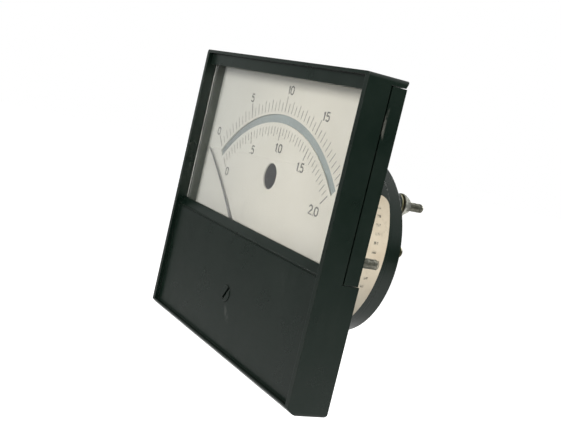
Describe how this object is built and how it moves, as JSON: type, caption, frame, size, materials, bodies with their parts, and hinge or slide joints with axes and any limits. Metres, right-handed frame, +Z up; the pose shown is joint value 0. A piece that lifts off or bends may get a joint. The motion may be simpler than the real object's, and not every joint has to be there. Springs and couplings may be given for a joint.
{
  "type": "analog panel meter",
  "caption": "Rectangular moving-coil panel meter with a mirror-arc dial, zero adjuster, round rear drum, studs and screw terminals.",
  "frame": {"origin": "on the drum axis, in the plane of the panel that the cover rests on", "axes": "+Z up, +X to the right seen from the front, the dial faces -Y and the drum points along +Y"},
  "size_m": [0.12, 0.0604, 0.1052],
  "materials": {
    "cover_plastic": "satin moulded, fine grain",
    "case_plastic": "satin moulded",
    "glass": "clear",
    "spacer_card": "matte",
    "label_paper": "matte, yellowed",
    "dial_paint": "matte painted",
    "ink": "printed",
    "mirror": "polished",
    "pointer_metal": "dark lacquered",
    "brass": "turned",
    "spring_bronze": "drawn",
    "copper_wire": "enamelled wire",
    "coil_frame": "folded",
    "steel": "machined",
    "zinc_steel": "plated",
    "dark_steel": "blackened",
    "magnet": "cast",
    "soft_iron": "turned",
    "bobbin": "moulded",
    "wire_insulation": "insulated wire"
  },
  "bodies": {
    "case": {"front_cover": "cover_plastic", "window_glass": "glass", "glass_spacer": "spacer_card", "base_housing": "case_plastic", "rear_cover": "case_plastic", "drum_label": "label_paper", "dial_plate": "dial_paint", "dial_marks": "ink", "scale_mirror": "mirror", "dial_screws": "zinc_steel", "rear_hairspring": "spring_bronze", "front_jewel_screw": "brass", "rear_jewel_screw": "brass", "front_bridge": "brass", "rear_bridge": "brass", "bridge_screws": "steel", "pointer_stops": "zinc_steel", "movement_plate": "zinc_steel", "plate_screws": "zinc_steel", "core_magnet": "magnet", "core_spacers": "brass", "yoke_ring": "soft_iron", "resistor_bobbin": "bobbin", "resistor_winding": "copper_wire", "resistor_screw": "zinc_steel", "lead_wires": "wire_insulation", "terminal_studs": "zinc_steel", "terminal_brass_washers": "brass", "terminal_lock_washers": "dark_steel", "terminal_washers": "zinc_steel", "terminal_nuts": "zinc_steel", "mounting_studs": "dark_steel", "rear_screws": "brass", "cover_screws": "zinc_steel"},
    "moving_element": {"pointer": "pointer_metal", "balance_weights": "brass", "coil_former": "coil_frame", "coil_winding": "copper_wire", "front_pivot": "steel", "rear_pivot": "steel"},
    "adjuster": {"zero_adjuster": "cover_plastic", "adjuster_clip": "steel"},
    "zero_arm": {"zero_lever": "brass", "front_hairspring": "spring_bronze"}
  },
  "joints": [
    {"name": "pointer_turn", "type": "hinge", "parent": "case", "child": "moving_element", "pos_m": [0, -0.0062, -0.0207], "axis": [0, 1, 0], "range_deg": [0, 100], "stiffness_Nm_per_rad": 0.00002},
    {"name": "adjuster_turn", "type": "hinge", "parent": "case", "child": "adjuster", "pos_m": [0, -0.013, -0.0252], "axis": [0, 1, 0], "range_deg": [-45, 45]},
    {"name": "zero_arm_turn", "type": "hinge", "parent": "case", "child": "zero_arm", "pos_m": [0, -0.008, -0.0207], "axis": [0, 1, 0], "range_deg": [-8.5, 8.5]}
  ],
  "couplings": [
    {"joint": "zero_arm_turn", "follows": "adjuster_turn", "ratio": -0.187}
  ]
}
